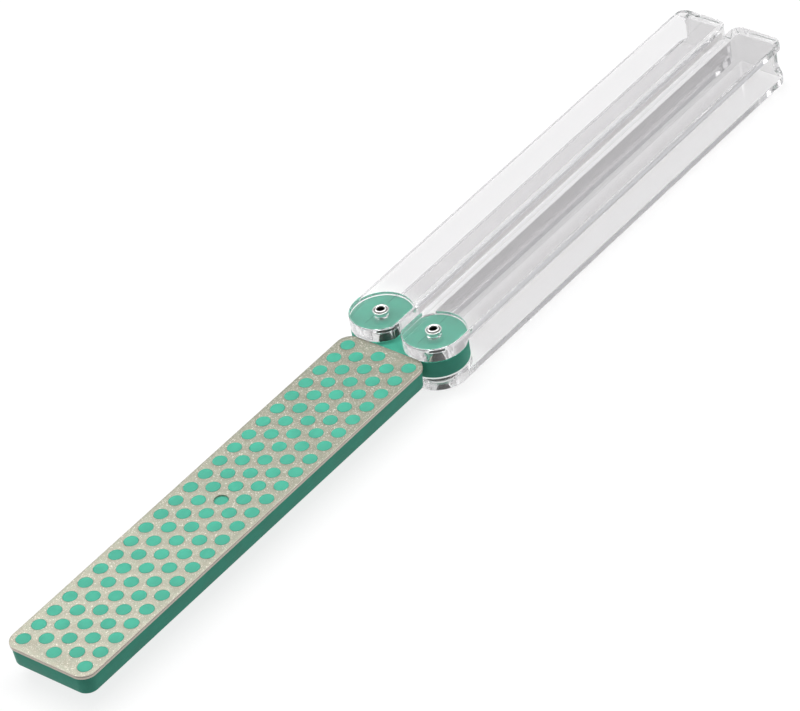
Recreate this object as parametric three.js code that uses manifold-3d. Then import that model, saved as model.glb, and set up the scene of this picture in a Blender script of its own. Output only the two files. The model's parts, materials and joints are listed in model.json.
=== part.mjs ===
// Folding diamond hone: a moulded bar faced with a perforated steel plate, and two clear channel
// handles that pivot on hollow rivets and fold over the bar. Millimetres, +Z up, handles open.
// The origin is under the middle of the open tool, at the level the handles rest on.

import * as THREE from "three";
import { mergeVertices } from "three/addons/utils/BufferGeometryUtils.js";
import Module from "manifold-3d";

const wasm = await Module();
wasm.setup();

// Plate and its perforation
const plateLength = 111.125;
const plateWidth = 22.225;
const plateThickness = 0.95;
const cornerRadius = 3.175;
const holePitch = 4.7625;
const holeRadius = 1.5875;
const holesInLongRow = 23;
const rowsEachSide = 2;
const circleSteps = 5;

// Moulded body
const bodyThickness = 4.3;
const plugRadius = 1.5;
const plugRoot = 0.6;
const lobeRadius = 7.0;

// Pivots
const pivotX = 62.97;
const pivotY = 7.14;
const rivetRadius = 1.45;
const rivetBore = 0.86;
const rivetHeadRadius = 1.8;
const rivetHeadHeight = 0.28;
const headGap = 0.04;
const rivetHoleRadius = 1.47;
const pivotBoreRadius = 1.55;
const counterboreRadius = 2.1;
const counterboreDepth = 0.45;
const roundSteps = 12;

// Handles, measured from their pivot: u runs to the far end, v runs to the open side
const handleHeight = 11.2;
const handleReach = 121.1;
const webSide = 6.09;
const openSide = 7.0;
const wall = 1.9;
const bossRadius = 7.1;
const pocketRadius = 7.3;
const hubClearance = 0.15;
const endCornerRadius = 2.5;
const endWallReach = 4.66;
const mouthFillet = 2.34;
const overcut = 2.0;

// Levels and places worked out from the driving dimensions
const midLevel = handleHeight / 2;
const bodyBottom = midLevel - bodyThickness / 2;
const bodyTop = midLevel + bodyThickness / 2;
const middleX = (pivotX + handleReach - plateLength / 2) / 2;
const rowStep = holePitch * Math.sin(Math.PI / 3);
const channelGap = handleHeight - 2 * wall;
const hubGap = bodyThickness + 2 * hubClearance;

const hardPlastic = { roughness: 0.45, metalness: 0 };
const materials = {
  body: new THREE.MeshStandardMaterial({ color: 0x4fb89b, ...hardPlastic }),
  plate: new THREE.MeshStandardMaterial({ color: 0xb5a998, roughness: 0.6, metalness: 0.6 }),
  clear: new THREE.MeshStandardMaterial({ color: 0xe6e6ea, roughness: 0.08, metalness: 0 }),
  rivet: new THREE.MeshStandardMaterial({ color: 0xd0d0ce, roughness: 0.2, metalness: 1 }),
};

// Manifold solids from three.js geometry, and back
function toSolid(geometry) {
  const bare = geometry.index ? geometry.toNonIndexed() : geometry.clone();
  bare.deleteAttribute("normal");
  bare.deleteAttribute("uv");
  const merged = mergeVertices(bare, 1e-4);
  return new wasm.Manifold(new wasm.Mesh({
    numProp: 3,
    vertProperties: new Float32Array(merged.attributes.position.array),
    triVerts: new Uint32Array(merged.index.array),
  }));
}

function toGeometry(solid) {
  const mesh = solid.getMesh();
  const geometry = new THREE.BufferGeometry();
  geometry.setAttribute("position", new THREE.BufferAttribute(mesh.vertProperties, 3));
  geometry.setIndex(new THREE.BufferAttribute(mesh.triVerts, 1));
  geometry.computeVertexNormals();
  return geometry;
}

function named(name, geometry, material) {
  const mesh = new THREE.Mesh(geometry, material);
  mesh.name = name;
  return mesh;
}

// A flat outline raised from one level to another
function slab(outline, bottom, top, steps = roundSteps) {
  const geometry = new THREE.ExtrudeGeometry(outline, {
    depth: top - bottom,
    bevelEnabled: false,
    curveSegments: steps,
  });
  return geometry.translate(0, 0, bottom);
}

function circleHole(x, y, radius) {
  return new THREE.Path().absarc(x, y, radius, 0, 2 * Math.PI);
}

function post(x, y, radius, bottom, top, steps = roundSteps) {
  const outline = new THREE.Shape().absarc(x, y, radius, 0, 2 * Math.PI);
  return toSolid(slab(outline, bottom, top, steps));
}

function block(x0, x1, y0, y1, z0, z1) {
  const box = new THREE.BoxGeometry(x1 - x0, y1 - y0, z1 - z0);
  return toSolid(box.translate((x0 + x1) / 2, (y0 + y1) / 2, (z0 + z1) / 2));
}

function barOutline() {
  const x = plateLength / 2 - cornerRadius;
  const y = plateWidth / 2 - cornerRadius;
  const quarter = Math.PI / 2;
  return new THREE.Shape()
    .absarc(x, y, cornerRadius, 0, quarter)
    .absarc(-x, y, cornerRadius, quarter, 2 * quarter)
    .absarc(-x, -y, cornerRadius, 2 * quarter, 3 * quarter)
    .absarc(x, -y, cornerRadius, 3 * quarter, 4 * quarter);
}

// Staggered rows: every second row has one hole fewer and sits half a pitch along
function holeCentres() {
  const centres = [];
  for (let row = -rowsEachSide; row <= rowsEachSide; row += 1) {
    const count = holesInLongRow - Math.abs(row % 2);
    for (let i = 0; i < count; i += 1) {
      centres.push([(i - (count - 1) / 2) * holePitch, row * rowStep]);
    }
  }
  return centres;
}

function diamondPlate() {
  const outline = barOutline();
  for (const [x, y] of holeCentres()) {
    outline.holes.push(circleHole(x, y, holeRadius));
  }
  return named("diamond_plate", slab(outline, bodyTop, bodyTop + plateThickness, circleSteps),
    materials.plate);
}

// Bar and hub are one moulding, and its plugs fill the plate's holes level with the plate
function honeBody() {
  const bar = toSolid(slab(barOutline(), bodyBottom, bodyTop, circleSteps));
  let solid = bar.add(block(plateLength / 2 - cornerRadius, pivotX, -pivotY, pivotY, bodyBottom, bodyTop));
  for (const side of [1, -1]) {
    solid = solid.add(post(pivotX, side * pivotY, lobeRadius, bodyBottom, bodyTop));
  }
  for (const side of [1, -1]) {
    const hole = post(pivotX, side * pivotY, rivetHoleRadius, bodyBottom - overcut, bodyTop + overcut);
    solid = solid.subtract(hole);
  }
  for (const [x, y] of holeCentres()) {
    solid = solid.add(post(x, y, plugRadius, bodyTop - plugRoot, bodyTop + plateThickness, circleSteps));
  }
  return named("hone_body", toGeometry(solid), materials.body);
}

// Plan of a handle: round about the pivot at the hub end, straight sides, rounded far corners
function handleOutline() {
  const farU = handleReach - endCornerRadius;
  const webMeets = Math.acos(-Math.sqrt(1 - (webSide / openSide) ** 2));
  const quarter = Math.PI / 2;
  return new THREE.Shape()
    .absarc(0, 0, openSide, quarter, 2 * Math.PI - webMeets)
    .absarc(farU, -webSide + endCornerRadius, endCornerRadius, -quarter, 0)
    .absarc(farU, openSide - endCornerRadius, endCornerRadius, 0, quarter);
}

// The end wall stops short of the open side, with a fillet up to each flange
function mouthCutter() {
  const half = channelGap / 2;
  const quarter = Math.PI / 2;
  const mouth = new THREE.Shape()
    .moveTo(openSide + overcut, half)
    .lineTo(openSide, half)
    .absarc(endWallReach + mouthFillet, half - mouthFillet, mouthFillet, quarter, 2 * quarter)
    .absarc(endWallReach + mouthFillet, mouthFillet - half, mouthFillet, 2 * quarter, 3 * quarter)
    .lineTo(openSide + overcut, -half);
  const along = new THREE.Matrix4().makeBasis(
    new THREE.Vector3(0, 1, 0), new THREE.Vector3(0, 0, 1), new THREE.Vector3(1, 0, 0));
  const geometry = slab(mouth, handleReach - wall - overcut, handleReach + overcut);
  return toSolid(geometry.applyMatrix4(along).translate(0, 0, midLevel));
}

// A handle about its own pivot, its open side towards +v
function handleSolid() {
  const farWall = handleReach - wall;
  const channelLow = midLevel - channelGap / 2;
  const channelHigh = midLevel + channelGap / 2;
  const hubLow = midLevel - hubGap / 2;
  const hubHigh = midLevel + hubGap / 2;
  const boss = post(0, 0, bossRadius, -overcut, handleHeight + overcut);
  const channel = block(0, farWall, wall - webSide, openSide + overcut, channelLow, channelHigh)
    .subtract(boss);
  const below = -overcut;
  const above = handleHeight + overcut;
  return toSolid(slab(handleOutline(), 0, handleHeight))
    .subtract(channel)
    .subtract(mouthCutter())
    .subtract(post(0, 0, pocketRadius, hubLow, hubHigh))
    .subtract(post(0, 0, pivotBoreRadius, below, above))
    .subtract(post(0, 0, counterboreRadius, below, counterboreDepth));
}

function handle(name, side) {
  const solid = side > 0 ? handleSolid() : handleSolid().mirror([0, 1, 0]);
  const mesh = named(name, toGeometry(solid), materials.clear);
  mesh.position.set(pivotX, side * pivotY, 0);
  return mesh;
}

// Hollow rivet: a tube with its rim rolled out over the handle at each end
function rivet(name, side) {
  const lowHead = counterboreDepth - headGap;
  const highHead = handleHeight + headGap;
  const profile = [
    [rivetBore, lowHead - rivetHeadHeight],
    [rivetHeadRadius, lowHead - rivetHeadHeight],
    [rivetHeadRadius, lowHead],
    [rivetRadius, lowHead],
    [rivetRadius, highHead],
    [rivetHeadRadius, highHead],
    [rivetHeadRadius, highHead + rivetHeadHeight],
    [rivetBore, highHead + rivetHeadHeight],
    [rivetBore, lowHead - rivetHeadHeight],
  ].map(([r, z]) => new THREE.Vector2(r, z));
  const geometry = new THREE.LatheGeometry(profile, 2 * roundSteps).rotateX(Math.PI / 2);
  const mesh = named(name, geometry, materials.rivet);
  mesh.position.set(pivotX, side * pivotY, 0);
  return mesh;
}

const hone = new THREE.Group();
hone.position.x = -middleX;
hone.add(
  honeBody(),
  diamondPlate(),
  handle("left_handle", 1),
  handle("right_handle", -1),
  rivet("left_pivot_rivet", 1),
  rivet("right_pivot_rivet", -1),
);

export default hone;
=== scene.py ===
"""Folding diamond hone: the finished look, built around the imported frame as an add-on's operators."""

import json
import math
import random

import bmesh
import bpy
from mathutils import Matrix, Quaternion, Vector


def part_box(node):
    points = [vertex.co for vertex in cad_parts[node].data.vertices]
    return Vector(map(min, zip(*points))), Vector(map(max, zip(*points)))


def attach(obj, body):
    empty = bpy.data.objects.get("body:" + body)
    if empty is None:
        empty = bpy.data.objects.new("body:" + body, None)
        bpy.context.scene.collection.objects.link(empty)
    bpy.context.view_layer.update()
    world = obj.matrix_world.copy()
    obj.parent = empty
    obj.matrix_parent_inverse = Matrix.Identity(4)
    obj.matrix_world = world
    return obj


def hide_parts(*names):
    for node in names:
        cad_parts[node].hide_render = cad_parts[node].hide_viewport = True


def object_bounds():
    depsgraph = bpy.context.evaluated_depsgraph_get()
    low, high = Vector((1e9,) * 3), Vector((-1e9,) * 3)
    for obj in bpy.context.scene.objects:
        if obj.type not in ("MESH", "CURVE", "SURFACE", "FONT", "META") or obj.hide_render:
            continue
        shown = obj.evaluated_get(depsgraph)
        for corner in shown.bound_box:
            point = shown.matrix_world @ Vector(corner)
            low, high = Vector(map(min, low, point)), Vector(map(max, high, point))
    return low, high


bl_info = {
    "name": "Folding Diamond Hone",
    "version": (1, 0, 0),
    "blender": (4, 5, 0),
    "location": "View3D > Sidebar > Hone",
    "description": "Builds a folding diamond hone with two clear handles, and a plain studio for it",
    "category": "Add Mesh",
}

MM = 0.001
MICRON = 0.001 * MM
FULL_TURN = 2 * math.pi
QUARTER = math.pi / 2
SMOOTH_ANGLE = math.radians(40)

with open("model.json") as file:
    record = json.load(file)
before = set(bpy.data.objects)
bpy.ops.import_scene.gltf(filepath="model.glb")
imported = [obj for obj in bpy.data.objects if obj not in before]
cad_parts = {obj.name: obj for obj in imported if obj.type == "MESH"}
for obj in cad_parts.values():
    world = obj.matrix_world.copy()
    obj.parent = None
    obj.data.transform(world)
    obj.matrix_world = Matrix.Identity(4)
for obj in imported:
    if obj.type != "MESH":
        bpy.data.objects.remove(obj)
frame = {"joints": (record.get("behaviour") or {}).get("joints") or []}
cad_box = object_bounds()
PLATE_LOW, PLATE_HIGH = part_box("diamond_plate")
BODY_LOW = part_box("hone_body")[0]
HANDLE_LOW, HANDLE_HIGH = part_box("left_handle")
RIVET_LOW, RIVET_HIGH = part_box("left_pivot_rivet")
PIVOTS = {joint["child"]: Vector(joint["pos_m"]) for joint in frame["joints"]}
PLATE_MIDDLE = (PLATE_LOW + PLATE_HIGH) / 2


# ---------------------------------------------------------------- settings

def length(name, description, millimetres):
    return bpy.props.FloatProperty(
        name=name, description=description, default=millimetres * MM, unit="LENGTH", precision=6)


def colour(name, description, default):
    return bpy.props.FloatVectorProperty(
        name=name, description=description, default=default, size=3, min=0, max=1, subtype="COLOR")


class HONE_PG_bar(bpy.types.PropertyGroup):
    """Sizes of the moulded bar, its hub and its plugs"""

    corner: length("Corner radius", "Plan radius of the bar's four corners", 3.175)
    lobe: length("Lobe radius", "Radius of each round hub lobe", 7.0)
    ledge: length("Ledge", "How far the moulding stands inside the plate's edge", 0.22)
    draft: length("Draft", "How much further in the moulding's lower edge is", 0.3)
    lower_round: length("Lower edge round", "Rounding of the lower edge", 0.4)
    upper_round: length("Upper edge round", "Rounding of the upper edge", 0.18)
    plug_gap: length("Plug gap", "Gap round the top of a plug in its hole", 0.01)
    plug_round: length("Plug round", "Rounding of the top of a plug", 0.03)
    plug_sink: length("Plug sink", "How far a usual plug lies below the plate", 0.02)
    gate_sink: length("Gate plug sink", "How far the middle plug, where the plastic came in, lies below", 0.42)
    plastic: colour("Plastic", "Colour of the moulded plastic", (0.075, 0.435, 0.305))


class HONE_PG_plate(bpy.types.PropertyGroup):
    """Sizes of the perforated plate"""

    pitch: length("Hole pitch", "Distance between neighbouring hole centres", 4.7625)
    hole: length("Hole radius", "Radius of each hole", 1.5875)
    long_row: bpy.props.IntProperty(
        name="Holes in a long row", description="Holes along the middle row", default=23, min=1)
    side_rows: bpy.props.IntProperty(
        name="Rows each side", description="Rows on each side of the middle row", default=2, min=0)
    rim: length("Hole rim round", "Rounding of each hole's rim", 0.14)
    edge: length("Edge round", "Rounding of the plate's outer edge", 0.22)
    groove: length("Edge groove", "Depth of the fine groove round the plate's edge", 0.07)
    nickel: colour("Nickel", "Colour of the nickel bond crowded with grit", (0.405, 0.4, 0.318))
    heel: colour("Heel", "What the nickel's colour is multiplied by at the hub end", (0.43, 0.46, 0.43))
    # Painted glint: a light colour painted on a few crystals, standing in for the light they catch.
    painted_glint: colour("Glint", "Colour of the crystals that catch the light", (0.9, 0.84, 0.74))
    # Grit-free nickel on the rims, edge and sides, partly its own colour and partly painted light as the
    # highlight the rounded rims catch.
    bare_nickel_highlight: colour("Bare nickel", "Colour where the plate is rounded over", (0.62, 0.55, 0.47))
    # Strength of the painted glint on those crystals.
    painted_sparkle: bpy.props.FloatProperty(
        name="Sparkle", description="How much brighter the crystals that catch the light are", default=0.5,
        min=0, max=1, subtype="FACTOR")


class HONE_PG_handle(bpy.types.PropertyGroup):
    """Sizes of a clear channel handle, measured from its pivot"""

    web_side: length("Web side", "From the pivot to the outside of the web", 6.09)
    open_side: length("Open side", "From the pivot to the open edge", 7.0)
    wall: length("Wall", "Thickness of the web, the flanges and the end wall", 1.9)
    boss: length("Boss radius", "Radius of the thick bosses over and under the hub", 7.1)
    pocket: length("Pocket radius", "Radius of the pocket that the hub turns in", 7.3)
    hub_clearance: length("Hub clearance", "Gap between a boss and the hub", 0.15)
    bore: length("Pivot bore", "Radius of the bore that turns on the rivet", 1.55)
    sink: length("Counterbore radius", "Radius of the recess for the lower rivet rim", 2.1)
    sink_depth: length("Counterbore depth", "Depth of the recess for the lower rivet rim", 0.45)
    corner: length("Far corner radius", "Plan radius of the far corners", 2.5)
    mouth: length("End wall reach", "From the pivot's line to the end wall's edge", 4.66)
    fillet: length("End wall fillet", "Radius from the end wall's edge up to each flange", 2.34)
    edge: length("Outer edge round", "Rounding round the top and bottom faces", 0.38)
    inner_edge: length("Inner edge round", "Rounding of the channel's and pocket's edges", 0.09)
    seam: length("Knit line", "Half width of the fine knit line across each upper boss", 0.13)
    tint: colour("Tint", "Colour of the clear plastic at the hub", (0.99, 1.0, 0.99))
    haze: colour("Haze", "Colour of the clear plastic beyond the hub", (0.88, 0.873, 0.876))
    # Painted shade on the upright sides: how much of the haze's brightness is kept there.
    side_painted_shade: bpy.props.FloatProperty(
        name="Side haze", description="Share of the haze's brightness left in light through the upright sides",
        default=0.82, min=0, max=1, subtype="FACTOR")


class HONE_PG_rivet(bpy.types.PropertyGroup):
    """Sizes of a hollow rivet"""

    tube: length("Tube radius", "Outside radius of the tube", 1.45)
    bore: length("Bore radius", "Radius of the hole through the rivet", 0.86)
    lip: length("Lip radius", "Outside radius of the rolled lip round the bore", 1.28)
    rim: length("Rim radius", "Outside radius of the flat rim under the lip", 1.8)
    metal: colour("Metal", "Colour of the plated metal", (0.78, 0.77, 0.75))


class HONE_PG_studio(bpy.types.PropertyGroup):
    """Where the camera stands, and the floor and light"""

    azimuth: bpy.props.FloatProperty(
        name="Azimuth", description="Camera direction round the hone", default=math.radians(-45.68),
        subtype="ANGLE")
    elevation: bpy.props.FloatProperty(
        name="Elevation", description="Camera height angle", default=math.radians(38.12), subtype="ANGLE")
    roll: bpy.props.FloatProperty(
        name="Roll", description="Camera turn about its own view", default=math.radians(-10.23),
        subtype="ANGLE")
    distance: length("Distance", "From the camera to the point it looks at", 960.6)
    aim_along: length("Aim along", "Aim point along the hone from the plate's middle", 54.83)
    aim_across: length("Aim across", "Aim point across the hone", -4.05)
    lens: bpy.props.FloatProperty(
        name="Lens", description="Focal length in millimetres on a 36 mm sensor", default=205.3)
    floor: colour("Floor", "Colour of the floor", (0.2, 0.2, 0.2))
    glow: bpy.props.FloatProperty(
        name="Glow", description="Light the floor gives off by itself, as a light table does",
        default=0.8, min=0)


SETTINGS = {
    "hone_bar": HONE_PG_bar,
    "hone_plate": HONE_PG_plate,
    "hone_handle": HONE_PG_handle,
    "hone_rivet": HONE_PG_rivet,
    "hone_studio": HONE_PG_studio,
}


# ---------------------------------------------------------------- shader nodes

def add_node(tree, kind, inputs=None, **settings):
    """Adds a node, sets its properties, and links or sets its inputs by name or number."""
    node = tree.nodes.new(kind)
    for key, value in settings.items():
        setattr(node, key, value)
    for key, value in (inputs or {}).items():
        socket = node.inputs[key]
        if isinstance(value, bpy.types.NodeSocket):
            tree.links.new(value, socket)
        else:
            socket.default_value = value
    return node


def maths(tree, kind, first, second=0.0):
    return add_node(tree, "ShaderNodeMath", {0: first, 1: second}, operation=kind).outputs[0]


def ramp(tree, value, low, high):
    """0 below low, 1 above high, smooth between."""
    node = add_node(tree, "ShaderNodeMapRange", {0: value, 1: low, 2: high}, interpolation_type="SMOOTHSTEP")
    return node.outputs[0]


def blend_colour(tree, factor, first, second):
    node = add_node(tree, "ShaderNodeMix", {0: factor, 6: first, 7: second}, data_type="RGBA")
    return node.outputs[2]


def shade(rgb, factor=1.0):
    return (*(channel * factor for channel in rgb), 1.0)


WHITE = shade((1.0, 1.0, 1.0))


def new_group(name, inputs, outputs):
    """A shader node group with named number inputs and the outputs given as name and socket kind."""
    tree = bpy.data.node_groups.new(name, "ShaderNodeTree")
    for label, default in inputs.items():
        socket = tree.interface.new_socket(label, in_out="INPUT", socket_type="NodeSocketFloat")
        socket.default_value = default
    for label, kind in outputs.items():
        tree.interface.new_socket(label, in_out="OUTPUT", socket_type=kind)
    return tree, tree.nodes.new("NodeGroupInput"), tree.nodes.new("NodeGroupOutput")


def place_group(tree, group, **values):
    node = tree.nodes.new("ShaderNodeGroup")
    node.node_tree = group
    for label, value in values.items():
        node.inputs[label.replace("_", " ").capitalize()].default_value = value
    return node


def moulded_skin_group():
    """Slow waves and a fine texture, as moulded plastic has."""
    tree, entry, leave = new_group(
        "moulded_skin",
        {"Wave size": 6 * MM, "Grain size": 0.2 * MM, "Grain share": 0.3},
        {"Height": "NodeSocketFloat", "Mask": "NodeSocketFloat"})
    place = add_node(tree, "ShaderNodeTexCoord").outputs["Object"]
    fields = {}
    for label in ("Wave size", "Grain size"):
        scale = maths(tree, "DIVIDE", 1.0, entry.outputs[label])
        noise = add_node(tree, "ShaderNodeTexNoise", {"Vector": place, "Scale": scale, "Detail": 2.0})
        fields[label] = noise.outputs["Fac"]
    mixed = add_node(tree, "ShaderNodeMix", {
        0: entry.outputs["Grain share"], 2: fields["Wave size"], 3: fields["Grain size"]})
    tree.links.new(mixed.outputs[0], leave.inputs["Height"])
    tree.links.new(ramp(tree, fields["Wave size"], 0.35, 0.65), leave.inputs["Mask"])
    return tree


def scuffs_group():
    """Thin marks along the hone, as use leaves on it."""
    tree, entry, leave = new_group(
        "scuffs", {"Width": 0.12 * MM, "Stretch": 14.0, "Amount": 0.3}, {"Mask": "NodeSocketFloat"})
    place = add_node(tree, "ShaderNodeTexCoord").outputs["Object"]
    squeeze = maths(tree, "DIVIDE", 1.0, entry.outputs["Stretch"])
    stretch = add_node(tree, "ShaderNodeCombineXYZ", {0: squeeze, 1: 1.0, 2: 1.0})
    drawn = add_node(tree, "ShaderNodeVectorMath", {0: place, 1: stretch.outputs[0]}, operation="MULTIPLY")
    scale = maths(tree, "DIVIDE", 1.0, entry.outputs["Width"])
    noise = add_node(tree, "ShaderNodeTexNoise", {"Vector": drawn.outputs[0], "Scale": scale, "Detail": 1.0})
    line = ramp(tree, noise.outputs["Fac"], 0.62, 0.74)
    tree.links.new(maths(tree, "MULTIPLY", line, entry.outputs["Amount"]), leave.inputs["Mask"])
    return tree


def grit_group():
    """Crystals of diamond: their height, a tone for each, and a mask of the few that get a painted glint for the
    light they catch.
    """
    tree, entry, leave = new_group(
        "grit", {"Crystal size": 0.16 * MM, "Glint share": 0.05},
        {"Height": "NodeSocketFloat", "Tone": "NodeSocketFloat", "Glint": "NodeSocketFloat"})
    place = add_node(tree, "ShaderNodeTexCoord").outputs["Object"]
    scale = maths(tree, "DIVIDE", 1.0, entry.outputs["Crystal size"])
    cells = add_node(tree, "ShaderNodeTexVoronoi", {"Vector": place, "Scale": scale})
    split = add_node(tree, "ShaderNodeSeparateColor", {0: cells.outputs["Color"]})
    rare = maths(tree, "SUBTRACT", 1.0, entry.outputs["Glint share"])
    painted_glint = maths(tree, "GREATER_THAN", split.outputs[1], rare)
    tree.links.new(cells.outputs["Distance"], leave.inputs["Height"])
    tree.links.new(split.outputs[0], leave.inputs["Tone"])
    tree.links.new(painted_glint, leave.inputs["Glint"])
    return tree


def group(name):
    builders = {"moulded_skin": moulded_skin_group, "scuffs": scuffs_group, "grit": grit_group}
    return bpy.data.node_groups.get(name) or builders[name]()


def new_material(name):
    material = bpy.data.materials.new(name)
    material.use_nodes = True
    tree = material.node_tree
    return material, tree, tree.nodes["Principled BSDF"]


def bumped(tree, shader, height, depth, strength=1.0, under=None):
    inputs = {"Height": height, "Distance": depth, "Strength": strength}
    if under is not None:
        inputs["Normal"] = under
    node = add_node(tree, "ShaderNodeBump", inputs)
    tree.links.new(node.outputs["Normal"], shader.inputs["Normal"])
    return node.outputs["Normal"]


# ---------------------------------------------------------------- materials

def green_plastic(settings):
    """Satin sea-green moulded plastic."""
    material, tree, shader = new_material("green_moulded_plastic")
    skin = place_group(tree, group("moulded_skin"), wave_size=5 * MM, grain_size=0.25 * MM, grain_share=0.45)
    marks = place_group(tree, group("scuffs"), width=0.2 * MM, amount=0.25)
    darker, lighter = shade(settings.plastic, 0.94), shade(settings.plastic, 1.05)
    tone = blend_colour(tree, skin.outputs["Mask"], darker, lighter)
    paler = blend_colour(tree, marks.outputs["Mask"], tone, shade(settings.plastic, 1.25))
    tree.links.new(paler, shader.inputs["Base Color"])
    rough = add_node(tree, "ShaderNodeMapRange", {0: skin.outputs["Mask"], 3: 0.42, 4: 0.52})
    tree.links.new(rough.outputs[0], shader.inputs["Roughness"])
    shader.inputs["Specular IOR Level"].default_value = 0.12
    bumped(tree, shader, skin.outputs["Height"], 12 * MICRON, 0.5)
    return material


def diamond_grit(settings):
    """Nickel crowded with diamond grit with painted glints, darker towards the hub; where the plate is rounded
    over, grit-free nickel painted light as a highlight, with painted shade in the edge groove.
    """
    material, tree, shader = new_material("diamond_grit")
    fine = place_group(tree, group("grit"), crystal_size=0.11 * MM, glint_share=0.05)
    coarse = place_group(tree, group("grit"), crystal_size=0.22 * MM, glint_share=0.025)
    skin = place_group(tree, group("moulded_skin"), wave_size=2.2 * MM, grain_size=0.5 * MM, grain_share=0.5)
    pinkish = shade((settings.nickel[0] * 1.02, settings.nickel[1] * 0.96, settings.nickel[2] * 0.94))
    greenish = shade((settings.nickel[0] * 0.98, settings.nickel[1] * 1.03, settings.nickel[2] * 1.0))
    cloud = blend_colour(tree, skin.outputs["Mask"], pinkish, greenish)
    place = add_node(tree, "ShaderNodeTexCoord").outputs["Object"]
    axes = add_node(tree, "ShaderNodeSeparateXYZ", {0: place})
    heel = ramp(tree, axes.outputs["X"], PLATE_LOW.x, PLATE_HIGH.x)
    fade = blend_colour(tree, heel, WHITE, shade(settings.heel))
    faded = add_node(
        tree, "ShaderNodeMix", {0: 1.0, 6: cloud, 7: fade}, data_type="RGBA", blend_type="MULTIPLY")
    crowd = blend_colour(tree, fine.outputs["Tone"], shade(settings.nickel, 0.78), faded.outputs[2])
    # Painted glints: the masked crystals get the glint colour as a painted highlight.
    painted_glints = maths(tree, "MAXIMUM", fine.outputs["Glint"], coarse.outputs["Glint"])
    painted_sparkle = maths(tree, "MULTIPLY", painted_glints, settings.painted_sparkle)
    glint_painted = blend_colour(tree, painted_sparkle, crowd, shade(settings.painted_glint))
    height = axes.outputs["Z"]
    gritty = ramp(tree, height, PLATE_HIGH.z - 0.06 * MM, PLATE_HIGH.z - 0.01 * MM)
    # Painted shade: a dark band in the edge groove, a quarter of the edge colour, where shade falls in the
    # recess.
    seam = PLATE_HIGH.z - settings.edge - 0.7 * settings.groove
    apart = maths(tree, "ABSOLUTE", maths(tree, "SUBTRACT", height, seam))
    outside_groove_shade = ramp(tree, apart, 0.4 * settings.groove, settings.groove)
    # Below the face: grit-free nickel painted light as a highlight on the rounded rims and edge.
    edge = blend_colour(tree, outside_groove_shade, shade(settings.bare_nickel_highlight, 0.25), shade(settings.bare_nickel_highlight))
    tree.links.new(blend_colour(tree, gritty, edge, glint_painted), shader.inputs["Base Color"])
    rough = add_node(tree, "ShaderNodeMix", {0: gritty, 2: 0.34, 3: 0.5})
    tree.links.new(rough.outputs[0], shader.inputs["Roughness"])
    shader.inputs["Metallic"].default_value = 0.5
    relief = maths(tree, "MULTIPLY", fine.outputs["Height"], gritty)
    first = bumped(tree, shader, coarse.outputs["Height"], 15 * MICRON, 0.3)
    bumped(tree, shader, relief, 18 * MICRON, 0.45, under=first)
    return material


CLEAR_IOR = 1.585  # polycarbonate's


def clear_plastic(settings):
    """Polished clear plastic with the faint waves of moulding, and a knit line across each upper boss.

    Light through the upright sides has come a longer way through the plastic, so their darker tint is painted
    shade, set by which way each face points.
    """
    material, tree, shader = new_material("clear_moulded_plastic")
    shader.inputs["Transmission Weight"].default_value = 1.0
    shader.inputs["IOR"].default_value = CLEAR_IOR
    place = add_node(tree, "ShaderNodeTexCoord")
    along = add_node(tree, "ShaderNodeSeparateXYZ", {0: place.outputs["Object"]}).outputs["X"]
    hub = PIVOTS["left_handle"].x
    far = ramp(tree, along, hub + 0.5 * settings.boss, hub + 1.5 * settings.boss)
    face_tint = blend_colour(tree, far, shade(settings.tint), shade(settings.haze))
    # Painted shade: faces that stand upright get a darker tint.
    facing = add_node(tree, "ShaderNodeSeparateXYZ", {0: place.outputs["Normal"]})
    flat = ramp(tree, maths(tree, "ABSOLUTE", facing.outputs["Z"]), 0.3, 0.95)
    tint = blend_colour(tree, flat, shade(settings.haze, settings.side_painted_shade), face_tint)
    line = knit_line(tree, settings)
    tree.links.new(blend_colour(tree, line, tint, shade(settings.tint, 0.45)), shader.inputs["Base Color"])
    skin = place_group(tree, group("moulded_skin"), wave_size=9 * MM, grain_size=1.2 * MM, grain_share=0.1)
    marks = place_group(tree, group("scuffs"), width=0.12 * MM, stretch=20.0, amount=0.08)
    rough = add_node(tree, "ShaderNodeMapRange", {0: marks.outputs["Mask"], 3: 0.03, 4: 0.3})
    tree.links.new(rough.outputs[0], shader.inputs["Roughness"])
    bumped(tree, shader, skin.outputs["Height"], 30 * MICRON, 0.15)
    return material


def knit_line(tree, settings):
    """A fine line where the plastic met behind each pivot's core: 1 on the line, 0 off it."""
    pivot = PIVOTS["left_handle"]
    place = add_node(tree, "ShaderNodeTexCoord").outputs["Object"]
    axes = add_node(tree, "ShaderNodeSeparateXYZ", {0: place})
    off_middle = maths(tree, "ABSOLUTE", axes.outputs["Y"])
    across = maths(tree, "ABSOLUTE", maths(tree, "SUBTRACT", off_middle, pivot.y))
    along = maths(tree, "ABSOLUTE", maths(tree, "SUBTRACT", axes.outputs["X"], pivot.x))
    line = maths(tree, "SUBTRACT", 1.0, ramp(tree, across, 0.4 * settings.seam, 0.8 * settings.seam))
    rest = maths(tree, "SUBTRACT", 1.0, ramp(tree, along, 0.66 * settings.boss, 0.82 * settings.boss))
    for limit in (
        rest,
        ramp(tree, along, 0.28 * settings.boss, 0.36 * settings.boss),
        ramp(tree, axes.outputs["Z"], HANDLE_HIGH.z - settings.edge, HANDLE_HIGH.z - 0.5 * settings.edge),
    ):
        line = maths(tree, "MULTIPLY", line, limit)
    return line


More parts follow.
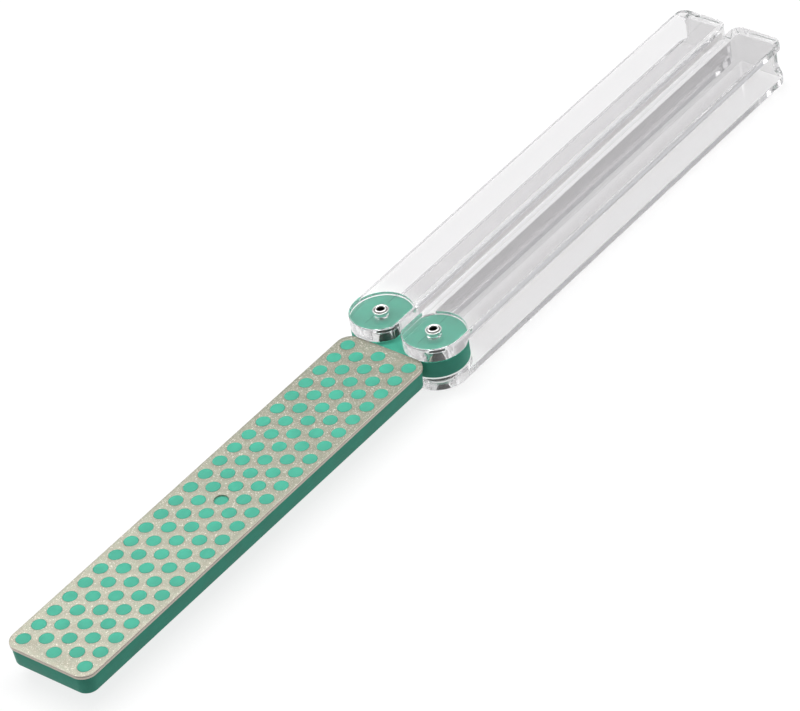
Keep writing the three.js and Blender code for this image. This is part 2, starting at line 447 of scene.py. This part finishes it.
def plated_rivet(settings):
    """Bright plated metal, a little rubbed, with painted shade down the bore and in the groove: darkened almost
    to black and made rough there.
    """
    material, tree, shader = new_material("plated_rivet_metal")
    skin = place_group(tree, group("moulded_skin"), wave_size=0.8 * MM, grain_size=0.1 * MM, grain_share=0.3)
    # Painted shade: this vertex layer darkens the colour almost to black, and also roughens the metal.
    shade_and_dull = add_node(tree, "ShaderNodeAttribute", attribute_name="shade_and_dull").outputs["Fac"]
    tone = blend_colour(tree, skin.outputs["Mask"], shade(settings.metal, 0.86), shade(settings.metal))
    tree.links.new(blend_colour(tree, shade_and_dull, tone, shade(settings.metal, 0.03)), shader.inputs["Base Color"])
    shader.inputs["Metallic"].default_value = 1.0
    polish = add_node(tree, "ShaderNodeMapRange", {0: skin.outputs["Mask"], 3: 0.12, 4: 0.22})
    rough = add_node(tree, "ShaderNodeMix", {0: shade_and_dull, 2: polish.outputs[0], 3: 0.8})
    tree.links.new(rough.outputs[0], shader.inputs["Roughness"])
    bumped(tree, shader, skin.outputs["Height"], 10 * MICRON, 0.4)
    return material


def pale_floor(settings):
    """A matt surface lit mostly from within, as a light table is."""
    material, tree, shader = new_material("pale_floor")
    noise = add_node(tree, "ShaderNodeTexNoise", {
        "Vector": add_node(tree, "ShaderNodeTexCoord").outputs["Object"], "Scale": 40.0, "Detail": 3.0})
    tone = blend_colour(tree, noise.outputs["Fac"], shade(settings.floor, 0.995), shade(settings.floor, 1.0))
    tree.links.new(tone, shader.inputs["Base Color"])
    shader.inputs["Roughness"].default_value = 0.9
    shader.inputs["Specular IOR Level"].default_value = 0.2
    shader.inputs["Emission Color"].default_value = WHITE
    shader.inputs["Emission Strength"].default_value = settings.glow
    return material


# ---------------------------------------------------------------- mesh helpers

ARC_STEP = math.radians(4)


def trace(bm, strokes, level):
    """Draws a closed outline at one level, and returns its edges.

    A stroke is a point to go straight to, or a centre and an angle to turn about it. The first is a point.
    """
    before = set(bm.edges)
    first = pen = bm.verts.new((*strokes[0], level))
    for stroke in strokes[1:]:
        if isinstance(stroke[0], (int, float)):
            pen = bmesh.ops.extrude_vert_indiv(bm, verts=[pen])["verts"][0]
            pen.co = (*stroke, level)
        else:
            centre, angle = stroke
            steps = max(2, round(abs(angle) / ARC_STEP))
            turned = bmesh.ops.spin(
                bm, geom=[pen], cent=(*centre, level), axis=(0, 0, 1), angle=angle, steps=steps)
            pen = turned["geom_last"][0]
    if (pen.co - first.co).length < MICRON:
        bmesh.ops.pointmerge(bm, verts=[pen, first], merge_co=first.co)
    else:
        bm.edges.new((pen, first))
    return [e for e in bm.edges if e not in before]


def ring(bm, centre, radius, level, steps):
    place = Matrix.Translation((centre[0], centre[1], level))
    verts = bmesh.ops.create_circle(bm, segments=steps, radius=radius, matrix=place)["verts"]
    return list(dict.fromkeys(e for v in verts for e in v.link_edges))


def skin_loops(bm, loops):
    for lower, upper in zip(loops, loops[1:]):
        bmesh.ops.bridge_loops(bm, edges=lower + upper)


def cap_loop(bm, edges):
    return bmesh.ops.edgeloop_fill(bm, edges=edges)["faces"]


def raise_face(bm, faces, height):
    top = bmesh.ops.extrude_face_region(bm, geom=faces)["geom"]
    bmesh.ops.translate(bm, verts=[v for v in top if isinstance(v, bmesh.types.BMVert)], vec=(0, 0, height))
    bmesh.ops.recalc_face_normals(bm, faces=bm.faces)


def raised(strokes, low, high):
    """A bmesh of an outline raised from one level to another."""
    bm = bmesh.new()
    raise_face(bm, cap_loop(bm, trace(bm, strokes, low)), high - low)
    return bm


def raised_disc(centre, radius, low, high, steps):
    bm = bmesh.new()
    raise_face(bm, cap_loop(bm, ring(bm, centre, radius, low, steps)), high - low)
    return bm


def edges_at(bm, level):
    """The edges between a flat face at one level and the walls round it."""
    return [e for e in bm.edges if all(abs(v.co.z - level) < MICRON for v in e.verts) and len(e.link_faces) == 2
            and abs(e.link_faces[0].normal.dot(e.link_faces[1].normal)) < 0.5]


def round_over(bm, edges, width, segments=3):
    bmesh.ops.bevel(bm, geom=edges, offset=width, segments=segments, profile=0.5, affect="EDGES", material=-1)


def to_object(name, bm):
    mesh = bpy.data.meshes.new(name)
    bm.to_mesh(mesh)
    bm.free()
    piece = bpy.data.objects.new(name, mesh)
    bpy.context.scene.collection.objects.link(piece)
    return piece


def finish_piece(piece, material, body, node):
    """Gives a piece its smooth shading, material, and place in the frame."""
    piece.data.shade_smooth()
    piece.data.set_sharp_from_angle(angle=SMOOTH_ANGLE)
    piece.data.materials.clear()
    piece.data.materials.append(material)
    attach(piece, body)
    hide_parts(node)


def carve(piece, cutters):
    """Takes each cutter out of the piece, and deletes the cutters."""
    for cutter in cutters:
        cut = piece.modifiers.new(cutter.name, "BOOLEAN")
        cut.operation = "DIFFERENCE"
        cut.solver = "EXACT"
        cut.object = cutter
    bake_modifiers(piece)
    for cutter in cutters:
        mesh = cutter.data
        bpy.data.objects.remove(cutter)
        bpy.data.meshes.remove(mesh)


def bake_modifiers(piece):
    graph = bpy.context.evaluated_depsgraph_get()
    old = piece.data
    piece.data = bpy.data.meshes.new_from_object(piece.evaluated_get(graph))
    piece.modifiers.clear()
    bpy.data.meshes.remove(old)
    piece.data.name = piece.name


def hole_centres(plate):
    """Hole centres in staggered rows about the plate's middle."""
    row_step = plate.pitch * math.sin(math.pi / 3)
    centres = []
    for row in range(-plate.side_rows, plate.side_rows + 1):
        count = plate.long_row - abs(row) % 2
        for i in range(count):
            centres.append(Vector(((i - (count - 1) / 2) * plate.pitch, row * row_step, 0)) + PLATE_MIDDLE)
    return centres


# ---------------------------------------------------------------- pieces

HOLE_STEPS = 40
BORE_STEPS = 64
SINK_SEED = 7
SINK_SPREAD = (0.4, 2.6)


def bar_strokes(inset, radius):
    """The plate's outline drawn in by an inset, anticlockwise from its hub end."""
    out_x, out_y = (PLATE_HIGH.x - PLATE_LOW.x) / 2, (PLATE_HIGH.y - PLATE_LOW.y) / 2
    x, y = PLATE_MIDDLE.x, PLATE_MIDDLE.y
    in_x, in_y = out_x - radius, out_y - radius
    return [
        (x + out_x - inset, y + in_y), ((x + in_x, y + in_y), QUARTER),
        (x - in_x, y + out_y - inset), ((x - in_x, y + in_y), QUARTER),
        (x - out_x + inset, y - in_y), ((x - in_x, y - in_y), QUARTER),
        (x + in_x, y - out_y + inset), ((x + in_x, y - in_y), QUARTER),
    ]


def body_strokes(bar, inset):
    """Plan of the moulding: the bar, and two lobes joined to its end."""
    left, right = PIVOTS["left_handle"], PIVOTS["right_handle"]
    end = PLATE_HIGH.x - inset
    return [
        (left.x, left.y - bar.lobe), (left.xy, QUARTER + math.pi), (end, left.y),
        *bar_strokes(inset, bar.corner),
        (end, right.y), (right.x - bar.lobe, right.y), (right.xy, QUARTER + math.pi),
    ]


class HONE_OT_body(bpy.types.Operator):
    """Build the moulded bar with its hub lobes and the plugs in the plate's holes"""

    bl_idname = "hone.body"
    bl_label = "Moulded Body"

    def execute(self, context):
        bar, plate = context.scene.hone_bar, context.scene.hone_plate
        top = PLATE_LOW.z
        bm = bmesh.new()
        lower = trace(bm, body_strokes(bar, bar.ledge + bar.draft), BODY_LOW.z)
        upper = trace(bm, body_strokes(bar, bar.ledge), top)
        skin_loops(bm, [lower, upper])
        cap_loop(bm, lower)
        cap_loop(bm, upper)
        bmesh.ops.recalc_face_normals(bm, faces=bm.faces)
        round_over(bm, edges_at(bm, BODY_LOW.z), bar.lower_round)
        round_over(bm, edges_at(bm, top), bar.upper_round)
        piece = to_object("moulded_body", bm)
        holes = []
        for pivot in PIVOTS.values():
            radius = context.scene.hone_rivet.tube + bar.plug_gap
            holes.append(to_object(
                "rivet_hole", raised_disc(pivot, radius, HANDLE_LOW.z, HANDLE_HIGH.z, BORE_STEPS)))
        carve(piece, holes)
        self.add_plugs(piece, bar, plate)
        finish_piece(piece, green_plastic(bar), "hone", "hone_body")
        return {"FINISHED"}

    def add_plugs(self, piece, bar, plate):
        """Each plug rises from inside the bar to just under the plate's face."""
        bm = bmesh.new()
        bm.from_mesh(piece.data)
        draw = random.Random(SINK_SEED)
        foot = PLATE_LOW.z - plate.rim
        rims = []
        for centre in hole_centres(plate):
            middle = (centre - PLATE_MIDDLE).length < plate.hole
            sink = bar.gate_sink if middle else bar.plug_sink * draw.uniform(*SINK_SPREAD)
            head = PLATE_HIGH.z - sink
            made = bmesh.ops.create_cone(
                bm, cap_ends=True, segments=HOLE_STEPS, radius1=plate.hole, radius2=plate.hole - bar.plug_gap,
                depth=head - foot, matrix=Matrix.Translation((centre.x, centre.y, (head + foot) / 2)))
            top = [v for v in made["verts"] if v.co.z > head - MICRON]
            rims += {e for v in top for e in v.link_edges if e.other_vert(v) in top}
        round_over(bm, rims, bar.plug_round, 2)
        bm.to_mesh(piece.data)
        bm.free()


class HONE_OT_plate(bpy.types.Operator):
    """Build the perforated plate with rounded rims and edge"""

    bl_idname = "hone.plate"
    bl_label = "Diamond Plate"

    def execute(self, context):
        plate, bar = context.scene.hone_plate, context.scene.hone_bar
        bm = bmesh.new()
        skin_loops(bm, [
            trace(bm, bar_strokes(inset, bar.corner), level) for inset, level in self.edge_profile(plate)])
        self.add_holes(bm, plate)
        for level in (PLATE_LOW.z, PLATE_HIGH.z):
            open_edges = [e for e in bm.edges if e.is_boundary and abs(e.verts[0].co.z - level) < MICRON]
            bmesh.ops.triangle_fill(bm, use_beauty=True, use_dissolve=False, edges=open_edges)
        bmesh.ops.recalc_face_normals(bm, faces=bm.faces)
        piece = to_object("perforated_plate", bm)
        finish_piece(piece, diamond_grit(plate), "hone", "diamond_plate")
        return {"FINISHED"}

    def add_holes(self, bm, plate):
        """One rounded hole wall is made, and placed at each centre."""
        wall = bmesh.new()
        skin_loops(wall, [
            ring(wall, (0, 0), plate.hole + inset, level, HOLE_STEPS)
            for inset, level in self.rim_profile(plate)])
        mesh = bpy.data.meshes.new("hole_wall")
        wall.to_mesh(mesh)
        wall.free()
        last = Vector((0, 0, 0))
        for centre in hole_centres(plate):
            here = Vector((centre.x, centre.y, 0))
            mesh.transform(Matrix.Translation(here - last))
            bm.from_mesh(mesh)
            last = here
        bpy.data.meshes.remove(mesh)

    def quarter_round(self, radius, steps=4):
        """Pairs of inset and level from a face, over a rounded edge, to the wall below it."""
        angles = [QUARTER * i / steps for i in range(steps + 1)]
        return [(radius * (1 - math.sin(a)), PLATE_HIGH.z - radius * (1 - math.cos(a))) for a in angles]

    def edge_profile(self, plate):
        """Rounded over, then a fine groove where the coating ends, then the plate's own edge."""
        groove, foot = PLATE_HIGH.z - plate.edge, PLATE_LOW.z + plate.rim
        return self.quarter_round(plate.edge) + [
            (plate.groove, groove - 0.3 * plate.groove), (plate.groove, groove - 1.1 * plate.groove),
            (0, groove - 1.5 * plate.groove), (0, foot), (plate.rim, PLATE_LOW.z)]

    def rim_profile(self, plate):
        return self.quarter_round(plate.rim) + [(0, PLATE_LOW.z)]


class HONE_OT_handles(bpy.types.Operator):
    """Build the two clear channel handles"""

    bl_idname = "hone.handles"
    bl_label = "Clear Handles"

    def execute(self, context):
        sizes = context.scene.hone_handle
        material = clear_plastic(sizes)
        for name, side in (("left_handle", 1), ("right_handle", -1)):
            piece = self.build(f"clear_{name}", sizes)
            self.put_in_place(piece, PIVOTS[name], side)
            finish_piece(piece, material, name, name)
            flatten = piece.modifiers.new("Even Normals", "WEIGHTED_NORMAL")
            flatten.keep_sharp = True
        return {"FINISHED"}

    def build(self, name, sizes):
        """A handle about its own pivot, its open side towards +Y."""
        reach = HANDLE_HIGH.x - PIVOTS["left_handle"].x
        height = HANDLE_HIGH.z - HANDLE_LOW.z
        bm = raised(self.plan(sizes, reach), 0, height)
        round_over(bm, edges_at(bm, 0) + edges_at(bm, height), sizes.edge)
        piece = to_object(name, bm)
        carve(piece, self.cutters(sizes, reach, height))
        soften = piece.modifiers.new("Soft Edges", "BEVEL")
        soften.width = sizes.inner_edge
        soften.segments = 2
        soften.limit_method = "ANGLE"
        soften.angle_limit = SMOOTH_ANGLE
        soften.use_clamp_overlap = False
        bake_modifiers(piece)
        carve(piece, [self.mouth(sizes, reach, height)])
        return piece

    def plan(self, sizes, reach):
        """Round about the pivot at the hub end, straight sides, rounded far corners."""
        turn = QUARTER + math.asin(sizes.web_side / sizes.open_side)
        far = reach - sizes.corner
        return [
            (0, sizes.open_side), ((0, 0), turn),
            (far, -sizes.web_side), ((far, sizes.corner - sizes.web_side), QUARTER),
            (reach, sizes.open_side - sizes.corner), ((far, sizes.open_side - sizes.corner), QUARTER),
        ]

    def cutters(self, sizes, reach, height):
        over = 2 * MM
        hub = BODY_LOW.z - HANDLE_LOW.z - sizes.hub_clearance, PLATE_LOW.z - HANDLE_LOW.z + sizes.hub_clearance

        def disc(name, radius, low, high):
            return to_object(name, raised_disc((0, 0), radius, low, high, BORE_STEPS))

        channel = self.channel_plan(sizes, reach, over)
        return [
            to_object("channel", raised(channel, sizes.wall, height - sizes.wall)),
            to_object("pocket", raised_disc((0, 0), sizes.pocket, *hub, 2 * BORE_STEPS)),
            disc("bore", sizes.bore, -over, height + over),
            disc("counterbore", sizes.sink, -over, sizes.sink_depth),
        ]

    def channel_plan(self, sizes, reach, over):
        """The channel starts where the bosses end, and stops at the end wall."""
        web = sizes.web_side - sizes.wall
        turn = QUARTER + math.asin(web / sizes.boss)
        return [
            (0, sizes.boss), ((0, 0), -turn), (reach - sizes.wall, -web),
            (reach - sizes.wall, sizes.open_side + over), (0, sizes.open_side + over),
        ]

    def mouth(self, sizes, reach, height):
        """Opens the end wall at the channel's side, with a fillet up to each flange."""
        over = sizes.wall
        half = height / 2 - sizes.wall
        centre = sizes.mouth + sizes.fillet
        section = [
            (sizes.open_side + over, half), (centre, half), ((centre, half - sizes.fillet), QUARTER),
            (sizes.mouth, sizes.fillet - half), ((centre, sizes.fillet - half), QUARTER),
            (sizes.open_side + over, -half),
        ]
        bm = raised(section, reach - sizes.wall - over, reach + over)
        along = Matrix(((0, 0, 1, 0), (1, 0, 0, 0), (0, 1, 0, height / 2), (0, 0, 0, 1)))
        bmesh.ops.transform(bm, matrix=along, verts=bm.verts)
        return to_object("mouth", bm)

    def put_in_place(self, piece, pivot, side):
        """Moves a handle to its pivot, and mirrors it for the right side."""
        bm = bmesh.new()
        bm.from_mesh(piece.data)
        if side < 0:
            bmesh.ops.scale(bm, vec=(1, -1, 1), verts=bm.verts)
            bmesh.ops.reverse_faces(bm, faces=bm.faces)
        bmesh.ops.translate(bm, vec=(pivot.x, pivot.y, HANDLE_LOW.z), verts=bm.verts)
        bm.to_mesh(piece.data)
        bm.free()


LIP_TURN = 0.85 * math.pi  # how far the rivet's lip is rolled over


class HONE_OT_rivets(bpy.types.Operator):
    """Build the two hollow rivets with their rolled rims"""

    bl_idname = "hone.rivets"
    bl_label = "Pivot Rivets"

    def execute(self, context):
        sizes = context.scene.hone_rivet
        material = plated_rivet(sizes)
        for name, handle in (("left_pivot_rivet", "left_handle"), ("right_pivot_rivet", "right_handle")):
            bm = self.spun(sizes)
            pivot = PIVOTS[handle]
            bmesh.ops.translate(bm, vec=(pivot.x, pivot.y, 0), verts=bm.verts)
            piece = to_object(f"hollow_{name}", bm)
            finish_piece(piece, material, "hone", name)
        return {"FINISHED"}

    def spun(self, sizes):
        """Half of the tube's section is spun about the axis, then mirrored for the lower rim."""
        middle = (RIVET_LOW.z + RIVET_HIGH.z) / 2
        crest = RIVET_HIGH.z - middle
        roll = (sizes.lip - sizes.bore) / 2
        seat = crest - 2 * roll
        bm = bmesh.new()
        # A layer on each vertex paints shade into the colour and sets roughness: full down the bore, most in the
        # groove under the lip and on the tube.
        shade_and_dull = bm.verts.layers.float.new("shade_and_dull")
        pen = bm.verts.new((sizes.bore, 0, 0))
        pen[shade_and_dull] = 1.0

        def draw_to(x, z, shade_and_dullness):
            end = bmesh.ops.extrude_vert_indiv(bm, verts=[pen])["verts"][0]
            end.co = (x, 0, z)
            end[shade_and_dull] = shade_and_dullness
            return end

        pen = draw_to(sizes.bore, seat, 1.0)
        pen = draw_to(sizes.bore, crest - roll, 0.0)
        rolled = bmesh.ops.spin(
            bm, geom=[pen], cent=(sizes.bore + roll, 0, crest - roll), axis=(0, 1, 0), angle=LIP_TURN, steps=10)
        pen = rolled["geom_last"][0]
        slope = sizes.rim - sizes.lip
        # The third number of each point is its painted shade and roughness.
        for x, z, shade_and_dullness in (
            (sizes.lip + 0.12 * slope, seat + 0.1 * roll, 0.9),
            (sizes.lip + 0.3 * slope, seat + 0.1 * roll, 0.9),
            (sizes.lip + 0.5 * slope, seat + 0.6 * roll, 0.2),
            (sizes.rim - 0.3 * slope, seat + 0.65 * roll, 0.1),
            (sizes.rim - 0.1 * slope, seat + 0.5 * roll, 0.2),
            (sizes.rim, seat + 0.2 * roll, 0.5),
            (sizes.rim - 0.05 * slope, seat, 0.7),
            (sizes.tube, seat, 0.8),
            (sizes.tube, 0, 0.8),
        ):
            pen = draw_to(x, z, shade_and_dullness)
        bmesh.ops.spin(
            bm, geom=bm.verts[:] + bm.edges[:], cent=(0, 0, 0), axis=(0, 0, 1), angle=FULL_TURN, steps=BORE_STEPS,
            use_merge=True)
        bmesh.ops.mirror(bm, geom=bm.verts[:] + bm.edges[:] + bm.faces[:], axis="Z", merge_dist=MICRON)
        bmesh.ops.remove_doubles(bm, verts=bm.verts, dist=MICRON)
        bmesh.ops.recalc_face_normals(bm, faces=bm.faces)
        bmesh.ops.translate(bm, vec=(0, 0, middle), verts=bm.verts)
        return bm


CLEAR_BOUNCES = 64  # light can cross a clear flange this often on its way along a handle
FLOOR_REACH = 3.0
FLOOR_GAP = 0.05 * MM
SKY_AT_HORIZON, SKY_OVERHEAD, SKY_AS_LIGHT = 0.3, 1.0, 0.25
SENSOR_WIDTH = 36.0  # millimetres


class HONE_OT_studio(bpy.types.Operator):
    """Set up the floor, the lights and the camera"""

    bl_idname = "hone.studio"
    bl_label = "Studio"

    def execute(self, context):
        studio = context.scene.hone_studio
        self.floor(studio)
        self.lights()
        self.world(context.scene)
        self.camera(context.scene, studio)
        context.scene.view_settings.view_transform = "Standard"
        for kind in ("max_bounces", "transmission_bounces", "glossy_bounces"):
            setattr(context.scene.cycles, kind, CLEAR_BOUNCES)
        return {"FINISHED"}

    def floor(self, studio):
        bm = bmesh.new()
        bmesh.ops.create_grid(bm, x_segments=1, y_segments=1, size=FLOOR_REACH)
        bmesh.ops.translate(bm, vec=(0, 0, cad_box[0].z - FLOOR_GAP), verts=bm.verts)
        floor = to_object("floor", bm)
        floor.data.materials.append(pale_floor(studio))
        floor.visible_diffuse = False

    def lights(self):
        """Soft boxes in metres and watts, each facing the hone."""
        for name, place, width, height, power in (
            ("overhead", (0.2, 0.2, 1.0), 1.3, 0.28, 8.5),
            ("left", (-0.45, 0.78, 0.5), 1.0, 1.0, 3.2),
            ("right", (0.78, -0.45, 0.5), 1.0, 1.0, 3.2),
            ("behind", (0.3, 0.6, 0.68), 0.45, 0.45, 1.2),
        ):
            data = bpy.data.lights.new(name, "AREA")
            data.shape = "RECTANGLE"
            data.size, data.size_y = width, height
            data.energy = power
            lamp = bpy.data.objects.new(name, data)
            lamp.location = place
            lamp.rotation_euler = Vector(place).to_track_quat("Z", "Y").to_euler()
            bpy.context.scene.collection.objects.link(lamp)

    def world(self, scene):
        """Bright overhead and dim at the horizon, and dimmer as a light, so that the sides keep their shade."""
        world = bpy.data.worlds.new("studio")
        world.use_nodes = True
        tree = world.node_tree
        sky = tree.nodes["Background"]
        sky.inputs["Color"].default_value = (0.96, 0.97, 1.0, 1.0)
        way = add_node(tree, "ShaderNodeTexCoord").outputs["Generated"]
        height = add_node(tree, "ShaderNodeSeparateXYZ", {0: way}).outputs["Z"]
        seen = add_node(tree, "ShaderNodeMapRange", {
            0: height, 1: 0.0, 2: 0.9, 3: SKY_AT_HORIZON, 4: SKY_OVERHEAD})
        diffuse = add_node(tree, "ShaderNodeLightPath").outputs["Is Diffuse Ray"]
        strength = add_node(tree, "ShaderNodeMix", {0: diffuse, 2: seen.outputs[0], 3: SKY_AS_LIGHT})
        tree.links.new(strength.outputs[0], sky.inputs["Strength"])
        scene.world = world

    def camera(self, scene, studio):
        away = Vector((
            math.sin(studio.azimuth) * math.cos(studio.elevation),
            -math.cos(studio.azimuth) * math.cos(studio.elevation),
            math.sin(studio.elevation)))
        aim = Vector((PLATE_MIDDLE.x + studio.aim_along, PLATE_MIDDLE.y + studio.aim_across, PLATE_HIGH.z))
        data = bpy.data.cameras.new("camera")
        data.lens = studio.lens
        data.sensor_width = SENSOR_WIDTH
        data.clip_start = 0.01
        camera = bpy.data.objects.new("camera", data)
        turn = away.to_track_quat("Z", "Y") @ Quaternion((0, 0, 1), studio.roll)
        camera.matrix_world = Matrix.Translation(aim + away * studio.distance) @ turn.to_matrix().to_4x4()
        scene.collection.objects.link(camera)
        scene.camera = camera


class HONE_PT_panel(bpy.types.Panel):
    """The hone's pieces in the sidebar"""

    bl_label = "Folding Diamond Hone"
    bl_idname = "HONE_PT_panel"
    bl_space_type = "VIEW_3D"
    bl_region_type = "UI"
    bl_category = "Hone"

    def draw(self, context):
        for operator in OPERATORS:
            self.layout.operator(operator.bl_idname)


OPERATORS = (HONE_OT_body, HONE_OT_plate, HONE_OT_handles, HONE_OT_rivets, HONE_OT_studio)


def register():
    for cls in (*SETTINGS.values(), *OPERATORS, HONE_PT_panel):
        bpy.utils.register_class(cls)
    for name, cls in SETTINGS.items():
        setattr(bpy.types.Scene, name, bpy.props.PointerProperty(type=cls))


def unregister():
    for name in SETTINGS:
        delattr(bpy.types.Scene, name)
    for cls in reversed((*SETTINGS.values(), *OPERATORS, HONE_PT_panel)):
        bpy.utils.unregister_class(cls)


def main():
    register()
    bpy.ops.hone.body()
    bpy.ops.hone.plate()
    bpy.ops.hone.handles()
    bpy.ops.hone.rivets()
    bpy.ops.hone.studio()


if __name__ == "__main__":
    main()
